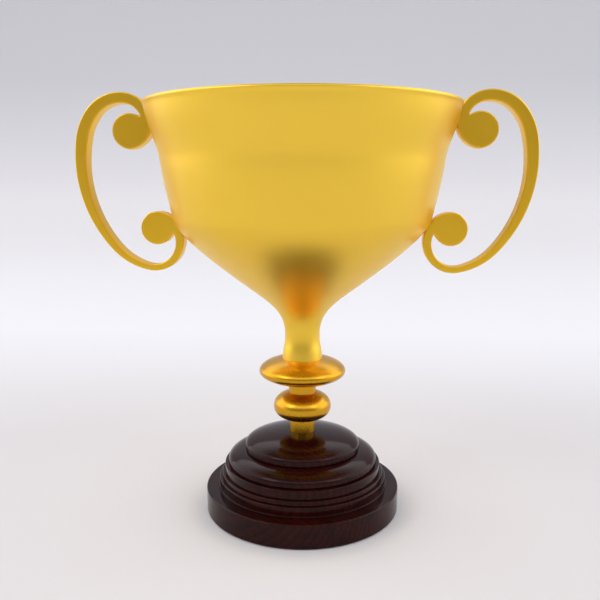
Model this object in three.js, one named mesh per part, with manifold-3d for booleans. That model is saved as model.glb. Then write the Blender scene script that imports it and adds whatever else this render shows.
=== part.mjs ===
// A two-handled cup trophy on a turned wooden base.
// Millimetres, +Z up. The origin is the centre of the underside. The cup faces -Y and its handles
// stand along X. A tie rod through the stem clamps the cup, the stem and the base together.

import * as THREE from 'three';
import * as BufferGeometryUtils from 'three/addons/utils/BufferGeometryUtils.js';
import Module from 'manifold-3d';

const wasm = await Module();
wasm.setup();

// Clearances and facets
const gap = 0.3; // left between two pieces that bear on each other
const facetsLarge = 40; // round the cup and the base
const facetsMedium = 32; // round the knops and the column
const facetsSmall = 16; // round screws, washers and the rod
const domeSteps = 8; // from the dome's edge to its seat
const shoulderSteps = 6; // round the shoulder's roll
const knopSteps = 4; // from a knop's widest part to each of its lands
const cupSteps = [2, 5, 5, 3, 4]; // between each two stations of the cup's profile
const bossSteps = 20; // round a handle's boss
const weldDistance = 1e-4; // corners closer than this are one corner
const cutOverrun = 1.0; // how far a cutter runs past what it cuts
const softShare = 0.3; // where the middle of a rounded edge stands, as a share of its round

// Baize under the base
const baizeThickness = 1.5;
const baizeProud = 0.4; // how far the baize stands below the plinth
const baizeMargin = 5.5; // from the plinth's edge to the recess that holds the baize

// Plinth
const plinthRadius = 60;
const plinthHeight = 14.6;
const plinthRound = 0.7; // softening of the plinth's edges
const hardwareClearance = 0.4; // between the nut and the baize, besides the gap
const counterboreRadius = 19;

// Stepped tier, from the bottom up
const plinthLedge = 8.2; // flat of the plinth that shows round the lowest step
const stepLedges = [0, 1.7, 1.8]; // how far each step stands in from the one below
const stepHeights = [5.9, 2.9, 5.5];
const stepRound = 0.5;
const footBeadHeight = 0.8;
const footBeadProud = 0.8;

// Shoulder tier: an upright edge, an elliptical roll, and a flat land on top for the dome
const shoulderInset = 2.2;
const shoulderEdge = 2.0; // height of the upright edge under the roll
const shoulderRollWidth = 13.8;
const shoulderHeight = 7.8;

// Dome
const domeInset = 10.6;
const domeEdge = 3.0; // height of the upright edge under the cap
const domeRise = 8.1;
const domeFullness = 2.0; // 2 is an ellipse, and more is squarer at the edge
const domeChamfer = 0.4; // under the dome's edge
const columnSeatDepth = 2.0;

// Stem
const columnRadius = 7.9;
const columnHeight = 9.0;
const lowerKnop = { radius: 17.7, rise: 9.7, drop: 9.1, fullness: 2.3 };
const spacerRadius = 8.4;
const spacerHeight = 5.5;
const upperKnop = { radius: 26.5, rise: 9.0, drop: 8.1, fullness: 2 };
const landMargin = 0.4; // how much wider each knop's flat land is than what stands on it

// Tie rod and its hardware
const rodRadius = 3.0;
const rodEngagement = 17; // length of the rod inside the neck plug
const clampWasher = { radius: 15, thickness: 1.6 };
const springWasher = { radius: 6.1, thickness: 1.6, slit: 0.9 };
const nut = { acrossFlats: 10, height: 4.7 };

// Cup: outside profile as stations above the neck's foot.
// lean is the wall's angle from vertical; reachIn and reachOut are how far the curve follows it.
const neckFootRadius = 12.2;
const waist = { radius: 10.6, height: 14.4, lean: 0, reachIn: 7.4, reachOut: 13.4 };
const cone = { radius: 31.7, height: 43.3, lean: 53, reachIn: 16.3, reachOut: 25.9 };
const shoulderOfCup = { radius: 76.0, height: 85.4, lean: 13, reachIn: 10.5, reachOut: 8.8 };
const flank = { radius: 82.4, height: 117.9, lean: 7, reachIn: 10.2, reachOut: 10 };
const lip = { radius: 91.0, height: 149.8, lean: 9, reachIn: 15.0, reachOut: 0 };
const neckFootLean = -4.5;
const neckFootReach = 8.9;
const cupWall = 1.6;
const lipBead = 0.35; // how much thicker than the wall the rolled lip is, each side
const lipBeadArc = { from: -40, to: 220, steps: 5 }; // degrees round the bead, from outside to inside

// Neck plug, soldered inside the neck
const plugLift = 1.0; // above the neck's foot
const plugAboveWaist = 7.0;
const plugChamfer = 1.0;

// Handles: a ribbon along tangent arcs, with a round boss curled in at each end.
// The drawing's u runs outwards from the cup's axis and its z upwards, both in millimetres.
const handleThickness = 9.6;
const handleBevel = 0.5;
const handleStart = { u: 102.8, z: 223.0, heading: 178.7, width: 4.6 };
const handleArcs = [
  { radius: 12.0, sweep: 72.6, width: 5.7 },
  { radius: 14.7, sweep: 98.1, width: 6.2 },
  { radius: 21.2, sweep: 57.3, width: 7.1 },
  { radius: 33.0, sweep: 28.7, width: 7.35 },
  { radius: 75.2, sweep: 53.8, width: 4.5 },
  { radius: 37.8, sweep: 35.2, width: 3.5 },
  { radius: 15.9, sweep: 155.1, width: 5.6 },
  { radius: 10.8, sweep: 66.0, width: 6.4 },
];
const handleBosses = [
  { u: 101.3, z: 231.3, radius: 10.4 },
  { u: 86.8, z: 174.5, radius: 9.7 },
];
// Where the drawing meets the cup's wall, and how far below the lip those two seats are.
const drawnSeats = { upper: { u: 89.2, z: 238.0 }, lower: { u: 74.3, z: 177.5 } };
const upperSeatDrop = 7.4;
const lowerSeatDrop = 67.9;
const arcStep = 12; // degrees of turn between two points of the ribbon

// Handle fixings, from inside the cup. A slot's length counts in head radii.
const handleScrew = {
  radius: 1.5, grip: 8, tipChamfer: 0.5, headRadius: 2.9, headHeight: 1.9, slot: 0.8, slotLength: 3,
};
const roundHead = [[0.6, 0], [0.9, 0.3], [1, 0.65]]; // outline, as shares of the head's radius and height
const handleWasher = { radius: 3.3, thickness: 0.8 };
const washerGap = 0.8; // at its middle, because the washer's flat rim nears the curved wall first

// Plinth screws, from below
const plinthScrewInset = 22; // from the plinth's edge
const plinthScrewCount = 3;
const plinthScrew = {
  radius: 1.75, length: 19, headRadius: 3.5, headHeight: 2.4, slot: 0.9, slotLength: 1.2,
};
const plinthScrewSink = 0.3;

// Levels, worked out from the bottom up
const baizeRecessTop = baizeThickness + gap;
const plinthTop = baizeProud + plinthHeight;
const stepsBottom = plinthTop + gap;
const stepsTop = stepHeights.reduce((level, height) => level + height, stepsBottom);
const shoulderBottom = stepsTop + gap;
const shoulderTop = shoulderBottom + shoulderHeight;
const domeBottom = shoulderTop + gap;
const domeWidest = domeBottom + domeEdge;

// Radii, worked out from the plinth inwards
const stepRadii = stepRadiiFromPlinth();
const shoulderRadius = stepRadii[stepRadii.length - 1] - shoulderInset;
const domeRadius = shoulderRadius - domeInset;
const rodBore = rodRadius + gap;

const columnSeat = domeSurface(columnRadius + gap) - columnSeatDepth;
const columnBottom = columnSeat + gap;
const columnTop = columnBottom + columnHeight;
const lowerKnopLands = { top: spacerRadius + landMargin, bottom: columnRadius + landMargin };
const lowerKnopBottom = columnTop + gap;
const lowerKnopTop = lowerKnopBottom + knopHeight(lowerKnop, lowerKnopLands);
const spacerBottom = lowerKnopTop + gap;
const spacerTop = spacerBottom + spacerHeight;
const upperKnopLands = { top: neckFootRadius + landMargin, bottom: spacerRadius + landMargin };
const upperKnopBottom = spacerTop + gap;
const upperKnopTop = upperKnopBottom + knopHeight(upperKnop, upperKnopLands);
const cupFoot = upperKnopTop + gap;
const plugBottom = cupFoot + plugLift;
const rodTop = plugBottom + rodEngagement;

const nutTop = baizeRecessTop + hardwareClearance + nut.height;
const springWasherTop = nutTop + gap + springWasher.thickness;
const clampWasherTop = springWasherTop + gap + clampWasher.thickness;
const counterboreTop = clampWasherTop + gap;

function welded(geometry) {
  const bare = geometry.clone();
  bare.deleteAttribute('normal');
  bare.deleteAttribute('uv');
  const merged = BufferGeometryUtils.mergeVertices(bare, weldDistance);
  const corners = merged.index.array;
  const kept = [];
  for (let i = 0; i < corners.length; i += 3) {
    const [a, b, c] = [corners[i], corners[i + 1], corners[i + 2]];
    if (a !== b && b !== c && c !== a) {
      kept.push(a, b, c);
    }
  }
  merged.setIndex(kept);
  return merged;
}

function solidOf(geometry) {
  const mesh = welded(geometry);
  const vertProperties = new Float32Array(mesh.attributes.position.array);
  const triVerts = new Uint32Array(mesh.index.array);
  return new wasm.Manifold(new wasm.Mesh({ numProp: 3, vertProperties, triVerts }));
}

function geometryOf(solid) {
  const mesh = solid.getMesh();
  const geometry = new THREE.BufferGeometry();
  geometry.setAttribute('position', new THREE.BufferAttribute(mesh.vertProperties, 3));
  geometry.setIndex(new THREE.BufferAttribute(mesh.triVerts, 1));
  geometry.computeVertexNormals();
  return geometry;
}

// A turned solid. The profile is a list of [radius, level] with the material on its left:
// up the outside and down the inside. A bored piece closes on itself.
function turned(profile, facets) {
  const points = profile.map(([radius, level]) => new THREE.Vector2(radius, level));
  if (profile[0][0] > 0) {
    points.push(points[0].clone());
  }
  const geometry = new THREE.LatheGeometry(points, facets);
  geometry.rotateX(Math.PI / 2);
  return solidOf(geometry);
}

function rod(radius, bottom, top, facets) {
  return turned([[0, bottom], [radius, bottom], [radius, top], [0, top]], facets);
}

function ring(outer, inner, bottom, top, facets) {
  return turned([[outer, bottom], [outer, top], [inner, top], [inner, bottom]], facets);
}

// A quarter or part of an ellipse, as [radius, level] points from one angle to another.
function ellipseArc(centre, level, width, height, from, to, steps) {
  const points = [];
  for (let i = 0; i <= steps; i += 1) {
    const angle = THREE.MathUtils.degToRad(THREE.MathUtils.lerp(from, to, i / steps));
    points.push([centre + width * Math.cos(angle), level + height * Math.sin(angle)]);
  }
  return points;
}

function placed(solid, matrix) {
  const geometry = geometryOf(solid);
  geometry.applyMatrix4(matrix);
  return solidOf(geometry);
}

function stepRadiiFromPlinth() {
  let radius = plinthRadius - plinthLedge;
  return stepLedges.map((ledge) => {
    radius -= ledge;
    return radius;
  });
}

// Level of the dome's surface at a radius.
function domeSurface(radius) {
  return domeWidest + domeRise * (1 - (radius / domeRadius) ** domeFullness) ** (1 / domeFullness);
}

function baizeDisc() {
  const radius = plinthRadius - baizeMargin - gap;
  return rod(radius, 0, baizeThickness, facetsLarge);
}

function plinthScrewPlaces() {
  const places = [];
  for (let i = 0; i < plinthScrewCount; i += 1) {
    const angle = (i / plinthScrewCount) * 2 * Math.PI + Math.PI / 2;
    const radius = plinthRadius - plinthScrewInset;
    places.push(new THREE.Vector3(radius * Math.cos(angle), radius * Math.sin(angle), baizeRecessTop));
  }
  return places;
}

function plinth() {
  const recessRadius = plinthRadius - baizeMargin;
  let body = turned([
    [recessRadius, baizeProud],
    [plinthRadius - plinthRound, baizeProud],
    [plinthRadius, baizeProud + plinthRound],
    [plinthRadius, plinthTop - plinthRound],
    [plinthRadius - plinthRound * softShare, plinthTop - plinthRound * softShare],
    [plinthRadius - plinthRound, plinthTop],
    [rodBore, plinthTop],
    [rodBore, counterboreTop],
    [counterboreRadius, counterboreTop],
    [counterboreRadius, baizeRecessTop],
    [recessRadius, baizeRecessTop],
  ], facetsLarge);
  for (const place of plinthScrewPlaces()) {
    const hole = placed(plinthScrewHole(), new THREE.Matrix4().setPosition(place));
    body = body.subtract(hole);
  }
  return body;
}

function steps() {
  const bead = stepRadii[0] + footBeadProud;
  const profile = [[bead, stepsBottom], [bead, stepsBottom + footBeadHeight]];
  let level = stepsBottom;
  stepRadii.forEach((radius, i) => {
    profile.push([radius, i === 0 ? stepsBottom + footBeadHeight : level]);
    level += stepHeights[i];
    profile.push([radius, level - stepRound]);
    profile.push([radius - stepRound * softShare, level - stepRound * softShare]);
    profile.push([radius - stepRound, level]);
  });
  profile.push([rodBore, stepsTop], [rodBore, stepsBottom]);
  let body = turned(profile, facetsLarge);
  for (const place of plinthScrewPlaces()) {
    const depth = plinthScrew.length + plinthScrewSink + gap;
    const pilot = rod(plinthScrew.radius + gap, 0, depth, facetsSmall);
    body = body.subtract(placed(pilot, new THREE.Matrix4().setPosition(place)));
  }
  return body;
}

function shoulder() {
  const centre = shoulderRadius - shoulderRollWidth;
  const landRadius = domeRadius - domeChamfer;
  const landAngle = Math.acos((landRadius - centre) / shoulderRollWidth);
  const rollHeight = (shoulderHeight - shoulderEdge) / Math.sin(landAngle);
  const roll = ellipseArc(centre, shoulderBottom + shoulderEdge, shoulderRollWidth, rollHeight, 0,
    THREE.MathUtils.radToDeg(landAngle), shoulderSteps);
  return turned([
    [shoulderRadius, shoulderBottom],
    ...roll,
    [rodBore, shoulderTop],
    [rodBore, shoulderBottom],
  ], facetsLarge);
}

function dome() {
  const seatRadius = columnRadius + gap;
  const seatAngle = Math.acos((seatRadius / domeRadius) ** (domeFullness / 2));
  const surface = [];
  for (let i = 0; i <= domeSteps; i += 1) {
    const radius = domeRadius * Math.cos((seatAngle * i) / domeSteps) ** (2 / domeFullness);
    surface.push([radius, domeSurface(radius)]);
  }
  return turned([
    [domeRadius - domeChamfer, domeBottom],
    [domeRadius, domeBottom + domeChamfer],
    ...surface,
    [seatRadius, columnSeat],
    [rodBore, columnSeat],
    [rodBore, domeBottom],
  ], facetsLarge);
}

// Level of a knop's surface above or below its widest part, at a radius.
function knopReach(knop, height, radius) {
  return height * (1 - (radius / knop.radius) ** knop.fullness) ** (1 / knop.fullness);
}

function knopHeight(knop, lands) {
  return knopReach(knop, knop.drop, lands.bottom) + knopReach(knop, knop.rise, lands.top);
}

// Points from a knop's widest part to one of its lands. sign is 1 for above and -1 for below.
function knopArc(knop, height, land, middle, sign) {
  const landAngle = Math.acos((land / knop.radius) ** (knop.fullness / 2));
  const points = [];
  for (let i = 1; i <= knopSteps; i += 1) {
    const angle = (landAngle * i) / knopSteps;
    const radius = knop.radius * Math.cos(angle) ** (2 / knop.fullness);
    points.push([radius, middle + sign * height * Math.sin(angle) ** (2 / knop.fullness)]);
  }
  return points;
}

function turnedKnop(knop, lands, bottom) {
  const middle = bottom + knopReach(knop, knop.drop, lands.bottom);
  const top = bottom + knopHeight(knop, lands);
  const below = knopArc(knop, knop.drop, lands.bottom, middle, -1).reverse();
  const above = knopArc(knop, knop.rise, lands.top, middle, 1);
  const profile = [...below, [knop.radius, middle], ...above, [rodBore, top], [rodBore, bottom]];
  return turned(profile, facetsMedium);
}

function hexNut() {
  const cornerRadius = nut.acrossFlats / 2 / Math.cos(Math.PI / 6);
  const bottom = nutTop - nut.height;
  const blank = rod(cornerRadius, bottom, nutTop, 6);
  return blank.subtract(rod(rodBore, bottom - cutOverrun, nutTop + cutOverrun, facetsSmall));
}

function splitWasher() {
  const bottom = springWasherTop - springWasher.thickness;
  const blank = ring(springWasher.radius, rodBore, bottom, springWasherTop, facetsSmall);
  const cutHeight = 2 * (springWasher.thickness + cutOverrun);
  const slit = new THREE.BoxGeometry(springWasher.radius, springWasher.slit, cutHeight);
  slit.translate(springWasher.radius, 0, springWasherTop);
  return blank.subtract(solidOf(slit));
}

// Outside of the cup from the neck's foot to the lip, as [radius, level] points.
function cupOutside(offset) {
  const foot = { radius: neckFootRadius, height: 0, lean: neckFootLean, reachOut: neckFootReach };
  const stations = [foot, waist, cone, shoulderOfCup, flank, lip];
  const along = (station, reach) => {
    const lean = THREE.MathUtils.degToRad(station.lean);
    const outwards = reach * Math.sin(lean);
    const upwards = reach * Math.cos(lean);
    return new THREE.Vector2(station.radius + outwards, station.height + upwards);
  };
  const points = [];
  cupSteps.forEach((count, i) => {
    const from = stations[i];
    const to = stations[i + 1];
    const curve = new THREE.CubicBezierCurve(along(from, 0), along(from, from.reachOut),
      along(to, -to.reachIn), along(to, 0));
    for (let k = i === 0 ? 0 : 1; k <= count; k += 1) {
      const point = curve.getPoint(k / count);
      const tangent = curve.getTangent(k / count);
      points.push([point.x + offset * tangent.y, cupFoot + point.y - offset * tangent.x]);
    }
  });
  return points;
}

function cupShell() {
  const outside = cupOutside(0);
  const inside = cupOutside(-cupWall);
  const lean = THREE.MathUtils.degToRad(lip.lean);
  const beadRadius = cupWall / 2 + lipBead;
  const beadCentre = [
    lip.radius - (cupWall / 2) * Math.cos(lean),
    cupFoot + lip.height + (cupWall / 2) * Math.sin(lean),
  ];
  const bead = ellipseArc(...beadCentre, beadRadius, beadRadius, lipBeadArc.from, lipBeadArc.to,
    lipBeadArc.steps);
  outside.pop();
  inside.pop();
  inside[0][1] = cupFoot;
  outside[0][1] = cupFoot;
  return turned([...outside, ...bead, ...inside.reverse()], facetsLarge);
}

// Radius and outward lean of the cup's outside at a level.
function cupWallAt(level) {
  const points = cupOutside(0);
  const i = points.findIndex(([, z]) => z >= level);
  const [lower, upper] = [points[i - 1], points[i]];
  const share = (level - lower[1]) / (upper[1] - lower[1]);
  return {
    radius: THREE.MathUtils.lerp(lower[0], upper[0], share),
    lean: Math.atan2(upper[0] - lower[0], upper[1] - lower[1]),
  };
}

// The plug slides in from the foot, so the narrowest place it passes sets its radius.
function neckPlug() {
  const top = cupFoot + waist.height + plugAboveWaist;
  const passed = cupOutside(-cupWall - gap).filter(([, level]) => level <= top);
  const narrowest = Math.min(...passed.map(([radius]) => radius));
  return turned([
    [rodBore, plugBottom],
    [narrowest, plugBottom],
    [narrowest, top - plugChamfer],
    [narrowest - plugChamfer, top],
    [0, top],
    [0, rodTop + gap],
    [rodBore, rodTop + gap],
  ], facetsMedium);
}

function handleOutline() {
  const outer = [];
  const inner = [];
  let { u, z } = handleStart;
  let heading = THREE.MathUtils.degToRad(handleStart.heading);
  let width = handleStart.width;
  const mark = (atU, atZ, direction, across) => {
    const halfU = (across / 2) * Math.sin(direction);
    const halfZ = (across / 2) * Math.cos(direction);
    outer.push(new THREE.Vector2(atU - halfU, atZ + halfZ));
    inner.push(new THREE.Vector2(atU + halfU, atZ - halfZ));
  };
  mark(u, z, heading, width);
  for (const arc of handleArcs) {
    const sweep = THREE.MathUtils.degToRad(arc.sweep);
    const count = Math.ceil(arc.sweep / arcStep);
    const centreU = u + arc.radius * Math.sin(heading);
    const centreZ = z - arc.radius * Math.cos(heading);
    for (let i = 1; i <= count; i += 1) {
      const direction = heading - (sweep * i) / count;
      u = centreU - arc.radius * Math.sin(direction);
      z = centreZ + arc.radius * Math.cos(direction);
      mark(u, z, direction, THREE.MathUtils.lerp(width, arc.width, i / count));
    }
    heading -= sweep;
    width = arc.width;
  }
  return new THREE.Shape([...outer, ...inner.reverse()]);
}

// Extrudes an outline drawn in u and z so that it stands in the XZ plane, centred on Y = 0.
function plate(shape) {
  const geometry = new THREE.ExtrudeGeometry(shape, {
    depth: handleThickness - 2 * handleBevel,
    bevelEnabled: true,
    bevelThickness: handleBevel,
    bevelSize: handleBevel,
    bevelOffset: -handleBevel,
    bevelSegments: 1,
    curveSegments: bossSteps,
  });
  geometry.rotateX(Math.PI / 2);
  geometry.translate(0, handleThickness / 2 - handleBevel, 0);
  return solidOf(geometry);
}

// Turns and scales the drawn handle so that its two seats meet the cup's wall.
function handleFit() {
  const seats = handleSeats();
  const drawnUpper = new THREE.Vector2(drawnSeats.upper.u, drawnSeats.upper.z);
  const drawnLower = new THREE.Vector2(drawnSeats.lower.u, drawnSeats.lower.z);
  const realUpper = new THREE.Vector2(seats.upper.radius, seats.upper.level);
  const realLower = new THREE.Vector2(seats.lower.radius, seats.lower.level);
  const drawn = drawnLower.clone().sub(drawnUpper);
  const real = realLower.clone().sub(realUpper);
  const scale = real.length() / drawn.length();
  return new THREE.Matrix4()
    .makeTranslation(realUpper.x, 0, realUpper.y)
    .multiply(new THREE.Matrix4().makeRotationY(drawn.angle() - real.angle()))
    .multiply(new THREE.Matrix4().makeScale(scale, 1, scale))
    .multiply(new THREE.Matrix4().makeTranslation(-drawnUpper.x, 0, -drawnUpper.y));
}

function handleSeats() {
  const lipLevel = cupFoot + lip.height;
  const seatAt = (drop) => {
    const level = lipLevel - drop;
    return { level, ...cupWallAt(level) };
  };
  return { upper: seatAt(upperSeatDrop), lower: seatAt(lowerSeatDrop) };
}

function handle() {
  let body = plate(handleOutline());
  for (const boss of handleBosses) {
    const disc = new THREE.Shape();
    disc.absarc(boss.u, boss.z, boss.radius, 0, 2 * Math.PI);
    body = body.add(plate(disc));
  }
  body = placed(body, handleFit());
  body = body.subtract(turned(cupEnvelope(), facetsLarge * 2));
  for (const seat of Object.values(handleSeats())) {
    const hole = rod(handleScrew.radius + gap, -cupWall, handleScrew.grip + 2 * gap, facetsSmall);
    body = body.subtract(placed(hole, seatMatrix(seat)));
  }
  return body;
}

// The cup filled in and a gap larger all round, its lip bead boxed in, to trim the handles against.
function cupEnvelope() {
  const beadReach = cupWall / 2 + lipBead + gap;
  const beadLevel = cupFoot + lip.height;
  const beadEdge = lip.radius + lipBead + gap;
  const wall = cupOutside(gap).filter(([, level]) => level < beadLevel - beadReach);
  return [
    [0, wall[0][1]],
    ...wall,
    [beadEdge, beadLevel - beadReach],
    [beadEdge, beadLevel + 2 * beadReach],
    [0, beadLevel + 2 * beadReach],
  ];
}

// A frame at a seat on the cup's outside, with +Z pointing out of the wall.
function seatMatrix(seat) {
  const matrix = new THREE.Matrix4().makeRotationY(Math.PI / 2 + seat.lean);
  return matrix.setPosition(seat.radius, 0, seat.level);
}

function slotCutter(width, length, depth, level) {
  const box = new THREE.BoxGeometry(length, width, depth * 2);
  box.translate(0, 0, level);
  return solidOf(box);
}

// A round-headed screw along +Z. Its head bears on the washer inside the cup.
function cupScrew() {
  const bearing = -cupWall - washerGap - handleWasher.thickness - gap;
  const head = bearing - handleScrew.headHeight;
  const outline = roundHead.map(([across, up]) => [
    handleScrew.headRadius * across,
    head + handleScrew.headHeight * up,
  ]);
  const body = turned([
    [0, head],
    ...outline,
    [handleScrew.headRadius, bearing],
    [handleScrew.radius, bearing],
    [handleScrew.radius, handleScrew.grip - handleScrew.tipChamfer],
    [handleScrew.radius - handleScrew.tipChamfer, handleScrew.grip],
    [0, handleScrew.grip],
  ], facetsSmall);
  const slotLength = handleScrew.headRadius * handleScrew.slotLength;
  return body.subtract(slotCutter(handleScrew.slot, slotLength, handleScrew.headHeight / 2, head));
}

function cupWasher() {
  const top = -cupWall - washerGap;
  const bottom = top - handleWasher.thickness;
  return ring(handleWasher.radius, handleScrew.radius + gap, bottom, top, facetsSmall);
}

// A countersunk wood screw along +Z, with its head at the plinth's underside.
function plinthScrewBody() {
  const neck = plinthScrewSink + plinthScrew.headHeight;
  const tip = plinthScrewSink + plinthScrew.length;
  const body = turned([
    [0, plinthScrewSink],
    [plinthScrew.headRadius, plinthScrewSink],
    [plinthScrew.radius, neck],
    [plinthScrew.radius, tip - plinthScrew.radius * 2],
    [0, tip],
  ], facetsSmall);
  const slots = [0, Math.PI / 2].map((turn) => {
    const length = plinthScrew.headRadius * plinthScrew.slotLength;
    const cutter = slotCutter(plinthScrew.slot, length, plinthScrew.headHeight / 2, plinthScrewSink);
    return placed(cutter, new THREE.Matrix4().makeRotationZ(turn));
  });
  return body.subtract(slots[0]).subtract(slots[1]);
}

function plinthScrewHole() {
  const neck = plinthScrewSink + plinthScrew.headHeight;
  const mouth = plinthScrew.headRadius + 2 * gap;
  const shank = plinthScrew.radius + gap;
  return turned([
    [0, -baizeRecessTop],
    [mouth, -baizeRecessTop],
    [mouth, plinthScrewSink],
    [shank, neck + gap],
    [shank, plinthHeight + cutOverrun],
    [0, plinthHeight + cutOverrun],
  ], facetsSmall);
}

// Finishes, as colour, roughness and metalness
const cupGold = [0xe1b842, 0.32, 1];
const plugBrass = [0xb8923c, 0.4, 1];
const handleGold = [0xd0a030, 0.35, 1];
const screwGold = [0xc8a448, 0.35, 1];
const knopGold = [0xd8a428, 0.22, 1];
const darkWood = [0x2e1a18, 0.25, 0];
const steel = [0x9a9c9e, 0.4, 1];
const woodScrewBrass = [0xb09a60, 0.4, 1];
const greenBaize = [0x24332a, 0.95, 0];

const trophy = new THREE.Group();

function addPiece(parent, name, solid, [color, roughness, metalness]) {
  const material = new THREE.MeshStandardMaterial({ color, roughness, metalness });
  const mesh = new THREE.Mesh(geometryOf(solid), material);
  mesh.name = name;
  parent.add(mesh);
  return mesh;
}

function cupBowl() {
  let shell = cupShell();
  const reach = 3 * cupWall; // well past both faces of the wall
  for (const seat of Object.values(handleSeats())) {
    const hole = rod(handleScrew.radius + gap, -reach, reach, facetsSmall);
    const outwards = placed(hole, seatMatrix(seat));
    shell = shell.subtract(outwards);
    shell = shell.subtract(placed(outwards, new THREE.Matrix4().makeRotationZ(Math.PI)));
  }
  return shell;
}

addPiece(trophy, 'cup_bowl', cupBowl(), cupGold);
addPiece(trophy, 'neck_plug', neckPlug(), plugBrass);

for (const [side, turn] of [['right', 0], ['left', Math.PI]]) {
  const group = new THREE.Group();
  group.rotation.z = turn;
  addPiece(group, `${side}_handle`, handle(), handleGold);
  for (const [place, seat] of Object.entries(handleSeats())) {
    const fixing = new THREE.Group();
    fixing.applyMatrix4(seatMatrix(seat));
    addPiece(fixing, `${side}_${place}_screw`, cupScrew(), screwGold);
    addPiece(fixing, `${side}_${place}_washer`, cupWasher(), screwGold);
    group.add(fixing);
  }
  trophy.add(group);
}

const spacer = ring(spacerRadius, rodBore, spacerBottom, spacerTop, facetsMedium);
const column = ring(columnRadius, rodBore, columnBottom, columnTop, facetsMedium);
addPiece(trophy, 'upper_knop', turnedKnop(upperKnop, upperKnopLands, upperKnopBottom), knopGold);
addPiece(trophy, 'knop_spacer', spacer, knopGold);
addPiece(trophy, 'lower_knop', turnedKnop(lowerKnop, lowerKnopLands, lowerKnopBottom), knopGold);
addPiece(trophy, 'stem_column', column, knopGold);

addPiece(trophy, 'base_dome', dome(), darkWood);
addPiece(trophy, 'base_shoulder', shoulder(), darkWood);
addPiece(trophy, 'base_steps', steps(), darkWood);
addPiece(trophy, 'base_plinth', plinth(), darkWood);

const washerBottom = clampWasherTop - clampWasher.thickness;
const flatWasher = ring(clampWasher.radius, rodBore, washerBottom, clampWasherTop, facetsMedium);
addPiece(trophy, 'tie_rod', rod(rodRadius, nutTop - nut.height, rodTop, facetsSmall), steel);
addPiece(trophy, 'clamp_washer', flatWasher, steel);
addPiece(trophy, 'spring_washer', splitWasher(), steel);
addPiece(trophy, 'hex_nut', hexNut(), steel);

plinthScrewPlaces().forEach((place, i) => {
  const screw = addPiece(trophy, `plinth_screw_${i + 1}`, plinthScrewBody(), woodScrewBrass);
  screw.position.copy(place);
});

addPiece(trophy, 'base_baize', baizeDisc(), greenBaize);

export default trophy;
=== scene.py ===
import math
import bmesh
import bpy
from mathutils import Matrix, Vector


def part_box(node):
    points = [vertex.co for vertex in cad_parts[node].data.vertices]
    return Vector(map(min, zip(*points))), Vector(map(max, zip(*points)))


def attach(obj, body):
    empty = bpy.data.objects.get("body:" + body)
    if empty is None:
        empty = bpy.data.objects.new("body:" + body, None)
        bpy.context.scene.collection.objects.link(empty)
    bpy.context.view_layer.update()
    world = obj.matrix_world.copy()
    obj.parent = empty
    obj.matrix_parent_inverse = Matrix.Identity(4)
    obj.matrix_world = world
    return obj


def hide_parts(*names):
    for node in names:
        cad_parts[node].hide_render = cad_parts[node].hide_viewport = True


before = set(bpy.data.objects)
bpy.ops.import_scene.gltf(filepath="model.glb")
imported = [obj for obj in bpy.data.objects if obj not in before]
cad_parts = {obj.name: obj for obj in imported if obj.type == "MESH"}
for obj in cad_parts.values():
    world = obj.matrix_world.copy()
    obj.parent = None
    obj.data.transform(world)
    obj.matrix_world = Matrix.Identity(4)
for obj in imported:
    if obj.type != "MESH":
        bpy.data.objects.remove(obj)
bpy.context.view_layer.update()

millimetre = 0.001
jointGap = 0.3 * millimetre  # the CAD pieces stand this far apart where they bear on each other
print("frame loaded:", len(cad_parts), "nodes")


def low(node):
    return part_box(node)[0]


def high(node):
    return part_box(node)[1]


def scaled(points):
    return [(a * millimetre, b * millimetre) for a, b in points]


def bezier(p0, p1, p2, p3, count):
    points = []
    for i in range(count + 1):
        t = i / count
        s = 1 - t
        weights = (s ** 3, 3 * s * s * t, 3 * s * t * t, t ** 3)
        points.append(tuple(sum(w * p[k] for w, p in zip(weights, (p0, p1, p2, p3))) for k in (0, 1)))
    return points


def ellipseArc(centre, level, width, height, start, end, count):
    points = []
    for i in range(count + 1):
        angle = math.radians(start + (end - start) * i / count)
        points.append((centre + width * math.cos(angle), level + height * math.sin(angle)))
    return points


# Rounds the corners of a closed profile. Each corner is (radius, level, rounding).
def easedProfile(corners, count=5, support=0.15 * millimetre):
    points = []
    total = len(corners)
    for i, (r, z, ease) in enumerate(corners):
        here = Vector((r, z))
        before = Vector(corners[i - 1][:2]) - here
        after = Vector(corners[(i + 1) % total][:2]) - here
        if ease <= 0 or before.length < 1e-9 or after.length < 1e-9:
            points.append((r, z))
            continue
        inward, onward = before.normalized(), after.normalized()
        half = inward.angle(onward) / 2
        if half > math.radians(88):
            points.append((r, z))
            continue
        reach = min(ease / math.tan(half), before.length * 0.45, after.length * 0.45)
        radius = reach * math.tan(half)
        centre = here + (inward + onward).normalized() * (radius / math.sin(half))
        first, last = here + inward * reach, here + onward * reach
        points.append(tuple(first + inward * min(support, before.length * 0.04)))
        for k in range(count + 1):
            spoke = (first - centre).lerp(last - centre, k / count).normalized() * radius
            points.append(tuple(centre + spoke))
        points.append(tuple(last + onward * min(support, after.length * 0.04)))
    return points


def addSocket(tree, name, kind, inOut="INPUT", value=None):
    socket = tree.interface.new_socket(name=name, in_out=inOut, socket_type=kind)
    if value is not None:
        socket.default_value = value
    return socket.identifier


class NodeBench:
    def __init__(self, tree):
        self.tree = tree

    def put(self, kind, settings=None, inputs=None):
        node = self.tree.nodes.new(kind)
        for key, value in (settings or {}).items():
            setattr(node, key, value)
        for key, value in (inputs or {}).items():
            if isinstance(value, bpy.types.NodeSocket):
                self.tree.links.new(value, node.inputs[key])
            else:
                node.inputs[key].default_value = value
        return node

    def maths(self, operation, a, b=0.0):
        return self.put("ShaderNodeMath", {"operation": operation}, {0: a, 1: b}).outputs[0]


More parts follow.
